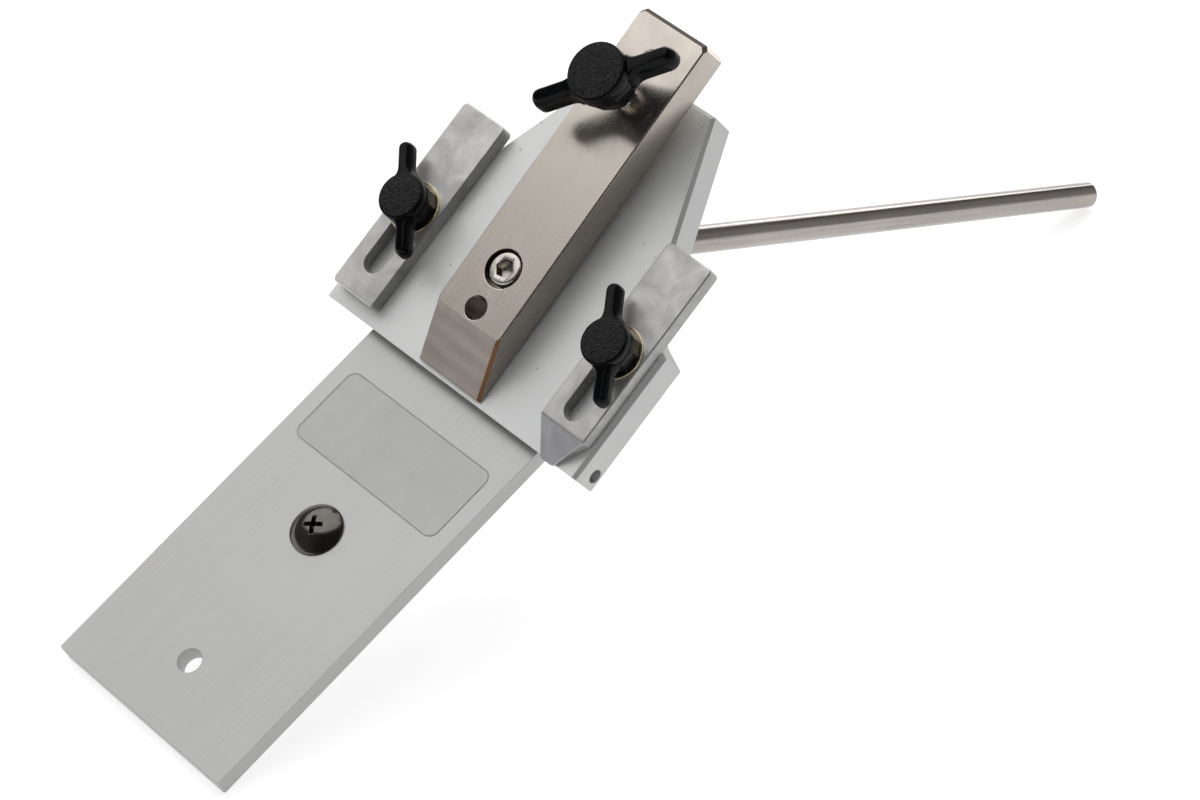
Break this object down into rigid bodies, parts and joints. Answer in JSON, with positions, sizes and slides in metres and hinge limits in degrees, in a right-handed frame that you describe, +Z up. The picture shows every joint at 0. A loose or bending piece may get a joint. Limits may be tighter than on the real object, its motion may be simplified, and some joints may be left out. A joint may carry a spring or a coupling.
{
  "type": "honing guide",
  "caption": "Machined sloping honing guide: waisted deck with clamp bar and slotted side fences, long tail plate and slanted support rod.",
  "frame": {"origin": "under the middle of the guide's bounding box, on the surface it stands on", "axes": "+X across the guide to the right fence, +Y from the tail's end to the rod's end, +Z up from the surface"},
  "size_m": [0.1014, 0.369, 0.1503],
  "materials": {
    "blasted_aluminium": "bead blasted, fine and matt",
    "brushed_aluminium": "brushed along the tail's length",
    "tumbled_aluminium": "tumbled, faintly mottled satin",
    "satin_nickel": "satin nickel plate, warm tint",
    "stainless": "brushed round the rod",
    "bright_steel": "bright machined",
    "zinc_steel": "zinc plated",
    "gunmetal_steel": "dark polished",
    "black_steel": "black oxide",
    "brass": "polished",
    "black_plastic": "moulded, textured on the caps and glossy on the sides",
    "clear_film": "clear film, blank"
  },
  "bodies": {
    "deck": {"deck_plate": "blasted_aluminium", "tail_plate": "brushed_aluminium", "tail_screws": "black_steel", "tail_side_screws": "black_steel", "truss_screw": "gunmetal_steel", "truss_nut": "zinc_steel", "label_film": "clear_film", "rod_block": "blasted_aluminium", "rod_block_screws": "black_steel", "rod_set_screw": "black_steel", "support_rod": "stainless", "pivot_screw": "bright_steel"},
    "clamp": {"clamp_bar": "satin_nickel"},
    "clamp_stud": {"tee_stud": "bright_steel"},
    "clamp_handle": {"tee_handle": "black_plastic"},
    "left_swivel": {"left_washer": "brass"},
    "left_guide": {"left_fence": "tumbled_aluminium"},
    "left_lock_stud": {"left_stud": "bright_steel"},
    "left_lock": {"left_knob": "black_plastic"},
    "right_swivel": {"right_washer": "brass"},
    "right_guide": {"right_fence": "tumbled_aluminium"},
    "right_lock_stud": {"right_stud": "bright_steel"},
    "right_lock": {"right_knob": "black_plastic"}
  },
  "joints": [
    {"name": "clamp_tilt", "type": "hinge", "parent": "deck", "child": "clamp", "pos_m": [0.00067, -0.05864, 0.08648], "axis": [-1, 0, 0], "range_deg": [0, 3.96]},
    {"name": "handle_travel", "type": "slide", "parent": "clamp", "child": "clamp_stud", "axis": [0, -0.6781, 0.7349], "range_m": [0, 0.00378]},
    {"name": "handle_turn", "type": "hinge", "parent": "clamp_stud", "child": "clamp_handle", "pos_m": [0.00067, -0.02276, 0.12884], "axis": [0, -0.6781, 0.7349], "range_deg": [0, 1080]},
    {"name": "left_fence_swivel", "type": "hinge", "parent": "deck", "child": "left_swivel", "pos_m": [-0.03913, -0.05905, 0.08613], "axis": [0, -0.6414, 0.7672], "range_deg": [-20, 20]},
    {"name": "left_fence_slide", "type": "slide", "parent": "left_swivel", "child": "left_guide", "axis": [0, 0.7672, 0.6414], "range_m": [0, 0.018]},
    {"name": "left_knob_travel", "type": "slide", "parent": "deck", "child": "left_lock_stud", "axis": [0, -0.6414, 0.7672], "range_m": [0, 0.00127]},
    {"name": "left_knob_turn", "type": "hinge", "parent": "left_lock_stud", "child": "left_lock", "pos_m": [-0.03913, -0.05905, 0.08613], "axis": [0, -0.6414, 0.7672], "range_deg": [0, 362]},
    {"name": "right_fence_swivel", "type": "hinge", "parent": "deck", "child": "right_swivel", "pos_m": [0.04047, -0.05905, 0.08613], "axis": [0, -0.6414, 0.7672], "range_deg": [-20, 20]},
    {"name": "right_fence_slide", "type": "slide", "parent": "right_swivel", "child": "right_guide", "axis": [0, 0.7672, 0.6414], "range_m": [0, 0.018]},
    {"name": "right_knob_travel", "type": "slide", "parent": "deck", "child": "right_lock_stud", "axis": [0, -0.6414, 0.7672], "range_m": [0, 0.00127]},
    {"name": "right_knob_turn", "type": "hinge", "parent": "right_lock_stud", "child": "right_lock", "pos_m": [0.04047, -0.05905, 0.08613], "axis": [0, -0.6414, 0.7672], "range_deg": [0, 362]}
  ],
  "couplings": [
    {"joint": "clamp_tilt", "follows": "handle_travel", "rad_per_m": 17.986},
    {"joint": "handle_turn", "follows": "handle_travel", "rad_per_m": 4947.4},
    {"joint": "left_knob_turn", "follows": "left_knob_travel", "rad_per_m": 4947.4},
    {"joint": "right_knob_turn", "follows": "right_knob_travel", "rad_per_m": 4947.4}
  ]
}
